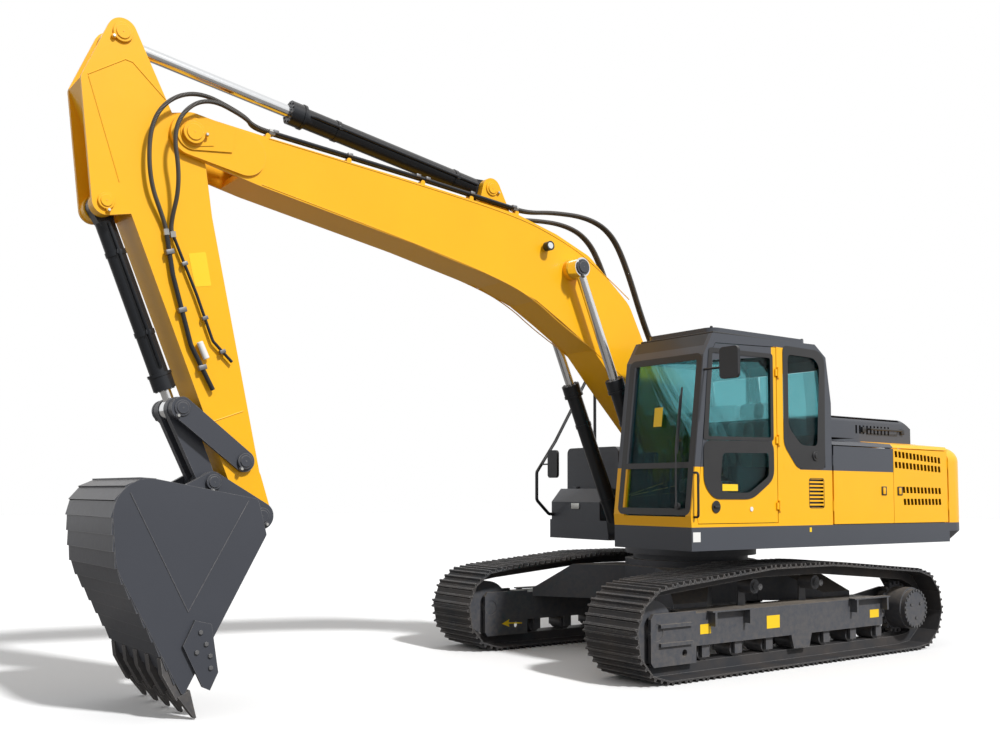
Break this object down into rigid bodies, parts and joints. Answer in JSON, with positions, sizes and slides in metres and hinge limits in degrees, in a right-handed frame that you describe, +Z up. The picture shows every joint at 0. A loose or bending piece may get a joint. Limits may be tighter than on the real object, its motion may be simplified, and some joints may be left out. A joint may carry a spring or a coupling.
{
  "type": "crawler excavator",
  "caption": "Crawler excavator with a closed cab on the left, a one-piece boom, an arm and a backhoe bucket, on steel tracks; the house swings and the working gear moves on its cylinders",
  "frame": {"origin": "On the ground under the swing axis", "axes": "+X forward along the boom, +Y to the driver's left, where the cab stands, +Z up"},
  "size_m": [9.0798, 3.145, 4.7989],
  "materials": {
    "carbody": "dark blue-grey paint, satin",
    "slew_bearing": "dark blue-grey paint, satin",
    "track_frame_left": "dark blue-grey paint, satin",
    "track_frame_right": "dark blue-grey paint, satin",
    "track_left": "worn steel shoes, dusty",
    "track_right": "worn steel shoes, dusty",
    "track_rollers": "dark blue-grey paint, satin",
    "front_idlers": "dark blue-grey paint, satin",
    "drive_sprockets": "dark blue-grey paint, satin",
    "travel_motors": "dark blue-grey paint, satin",
    "revolving_frame": "dark blue-grey paint, satin",
    "side_skirts": "dark blue-grey paint, satin",
    "counterweight": "machine yellow paint, satin gloss",
    "engine_block": "cast, matte",
    "fuel_tank": "dark blue-grey paint, satin",
    "hydraulic_tank": "machine yellow paint, satin gloss",
    "toolbox": "dark blue-grey paint, satin",
    "side_covers": "machine yellow paint, satin gloss",
    "cab_shell": "dark blue-grey paint, satin",
    "cab_roof": "dark blue-grey paint, satin",
    "cab_windows": "tinted glass",
    "operator_seat": "dark cloth",
    "consoles": "dark moulded plastic",
    "handrails": "black paint",
    "exhaust_pipe": "black heat-proof paint",
    "mirrors": "black housings",
    "cab_door": "dark blue-grey paint, satin",
    "cab_door_windows": "tinted glass",
    "left_front_door": "machine yellow paint, satin gloss",
    "left_rear_door": "machine yellow paint, satin gloss",
    "pump_door": "machine yellow paint, satin gloss",
    "hood": "dark blue-grey paint, satin",
    "toolbox_lid": "dark blue-grey paint, satin",
    "boom": "machine yellow paint, satin gloss",
    "boom_pipes": "near-black paint, satin",
    "boom_lamp": "black housing, clear lens",
    "boom_hoses": "black hose",
    "arm_hoses": "black hose",
    "boom_cylinder_barrels": "near-black paint, satin",
    "boom_cylinder_rods": "polished chrome rod",
    "arm": "machine yellow paint, satin gloss",
    "arm_pipes": "near-black paint, satin",
    "arm_cylinder_barrel": "near-black paint, satin",
    "arm_cylinder_rod": "polished chrome rod",
    "bucket": "dark grey paint, worn at the edges",
    "bucket_teeth": "cast and worn",
    "side_cutters": "dull steel",
    "bucket_cylinder_barrel": "near-black paint, satin",
    "bucket_cylinder_rod": "polished chrome rod",
    "bucket_rockers": "dark blue-grey paint, satin",
    "bucket_link": "dark blue-grey paint, satin"
  },
  "bodies": {
    "undercarriage": {"carbody": "carbody", "slew_bearing": "slew_bearing", "track_frame_left": "track_frame_left", "track_frame_right": "track_frame_right", "track_left": "track_left", "track_right": "track_right", "track_rollers": "track_rollers", "front_idlers": "front_idlers", "drive_sprockets": "drive_sprockets", "travel_motors": "travel_motors"},
    "house": {"revolving_frame": "revolving_frame", "side_skirts": "side_skirts", "counterweight": "counterweight", "engine_block": "engine_block", "fuel_tank": "fuel_tank", "hydraulic_tank": "hydraulic_tank", "toolbox": "toolbox", "side_covers": "side_covers", "cab_shell": "cab_shell", "cab_roof": "cab_roof", "cab_windows": "cab_windows", "operator_seat": "operator_seat", "consoles": "consoles", "handrails": "handrails", "exhaust_pipe": "exhaust_pipe", "mirrors": "mirrors"},
    "cab_door": {"cab_door": "cab_door", "cab_door_windows": "cab_door_windows"},
    "left_front_door": {"left_front_door": "left_front_door"},
    "left_rear_door": {"left_rear_door": "left_rear_door"},
    "pump_door": {"pump_door": "pump_door"},
    "hood": {"hood": "hood"},
    "toolbox_lid": {"toolbox_lid": "toolbox_lid"},
    "boom": {"boom": "boom", "boom_pipes": "boom_pipes", "boom_lamp": "boom_lamp", "boom_hoses": "boom_hoses", "arm_hoses": "arm_hoses"},
    "boom_barrels": {"boom_cylinder_barrels": "boom_cylinder_barrels"},
    "boom_rods": {"boom_cylinder_rods": "boom_cylinder_rods"},
    "arm": {"arm": "arm", "arm_pipes": "arm_pipes"},
    "arm_barrel": {"arm_cylinder_barrel": "arm_cylinder_barrel"},
    "arm_rod": {"arm_cylinder_rod": "arm_cylinder_rod"},
    "bucket": {"bucket": "bucket", "bucket_teeth": "bucket_teeth", "side_cutters": "side_cutters"},
    "bucket_barrel": {"bucket_cylinder_barrel": "bucket_cylinder_barrel"},
    "bucket_rod": {"bucket_cylinder_rod": "bucket_cylinder_rod"},
    "rockers": {"bucket_rockers": "bucket_rockers"},
    "link": {"bucket_link": "bucket_link"}
  },
  "joints": [
    {"name": "swing", "type": "hinge", "parent": "undercarriage", "child": "house", "pos_m": [0, 0, 1], "axis": [0, 0, 1], "continuous": true},
    {"name": "boom_lift", "type": "hinge", "parent": "house", "child": "boom", "pos_m": [0.17, 0, 1.77], "axis": [0, 1, 0], "range_deg": [-38, 71], "deforming": ["boom_hoses"]},
    {"name": "boom_barrels_swing", "type": "hinge", "parent": "house", "child": "boom_barrels", "pos_m": [0.7, 0, 1.15], "axis": [0, 1, 0], "range_deg": [-37, 68]},
    {"name": "boom_rods_slide", "type": "slide", "parent": "boom_barrels", "child": "boom_rods", "axis": [0.4052, 0, 0.9142], "range_m": [-0.9, 0.485]},
    {"name": "arm_swing", "type": "hinge", "parent": "boom", "child": "arm", "pos_m": [5.374, 0, 4.067], "axis": [0, -1, 0], "range_deg": [-20, 100], "deforming": ["arm_hoses"]},
    {"name": "arm_barrel_swing", "type": "hinge", "parent": "boom", "child": "arm_barrel", "pos_m": [2.61, 0, 4.168], "axis": [0, -1, 0], "range_deg": [-1, 4.5]},
    {"name": "arm_rod_slide", "type": "slide", "parent": "arm_barrel", "child": "arm_rod", "axis": [0.9873, 0, 0.159], "range_m": [-1.19, 0.24]},
    {"name": "bucket_curl", "type": "hinge", "parent": "arm", "child": "bucket", "pos_m": [4.79, 0, 1.34], "axis": [0, -1, 0], "range_deg": [-160, 5]},
    {"name": "bucket_barrel_swing", "type": "hinge", "parent": "arm", "child": "bucket_barrel", "pos_m": [5.96, 0, 3.491], "axis": [0, -1, 0], "range_deg": [-1, 6.5]},
    {"name": "bucket_rod_slide", "type": "slide", "parent": "bucket_barrel", "child": "bucket_rod", "axis": [-0.3737, 0, -0.9276], "range_m": [-0.04, 1.06]},
    {"name": "rockers_swing", "type": "hinge", "parent": "arm", "child": "rockers", "pos_m": [4.924, 0, 1.737], "axis": [0, -1, 0], "range_deg": [-121, 4]},
    {"name": "link_swing", "type": "hinge", "parent": "bucket", "child": "link", "pos_m": [5.166, 0, 1.584], "axis": [0, -1, 0], "range_deg": [-4, 119]},
    {"name": "cab_door_swing", "type": "hinge", "parent": "house", "child": "cab_door", "pos_m": [0.371, 1.376, 2], "axis": [0, 0, 1], "range_deg": [0, 165]},
    {"name": "left_front_door_swing", "type": "hinge", "parent": "house", "child": "left_front_door", "pos_m": [-0.422, 1.366, 1.6], "axis": [0, 0, 1], "range_deg": [-100, 0]},
    {"name": "left_rear_door_swing", "type": "hinge", "parent": "house", "child": "left_rear_door", "pos_m": [-2.373, 1.366, 1.6], "axis": [0, 0, 1], "range_deg": [0, 100]},
    {"name": "pump_door_swing", "type": "hinge", "parent": "house", "child": "pump_door", "pos_m": [-1.406, -1.366, 1.6], "axis": [0, 0, 1], "range_deg": [0, 100]},
    {"name": "hood_lift", "type": "hinge", "parent": "house", "child": "hood", "pos_m": [-0.893, 0, 2.069], "axis": [0, 1, 0], "range_deg": [0, 65]},
    {"name": "toolbox_lid_lift", "type": "hinge", "parent": "house", "child": "toolbox_lid", "pos_m": [0.456, 0, 1.586], "axis": [0, -1, 0], "range_deg": [0, 85]}
  ],
  "couplings": [
    {"joint": "boom_barrels_swing", "follows": "boom_lift", "ratio": 0.9462},
    {"joint": "boom_rods_slide", "follows": "boom_lift", "m_per_rad": -0.723},
    {"joint": "arm_barrel_swing", "follows": "arm_swing", "ratio": 0.0416},
    {"joint": "arm_rod_slide", "follows": "arm_swing", "m_per_rad": -0.6786},
    {"joint": "bucket_barrel_swing", "follows": "bucket_curl", "ratio": -0.0358},
    {"joint": "bucket_rod_slide", "follows": "bucket_curl", "m_per_rad": -0.3754},
    {"joint": "rockers_swing", "follows": "bucket_curl", "ratio": 0.7492},
    {"joint": "link_swing", "follows": "bucket_curl", "ratio": -0.7391}
  ]
}
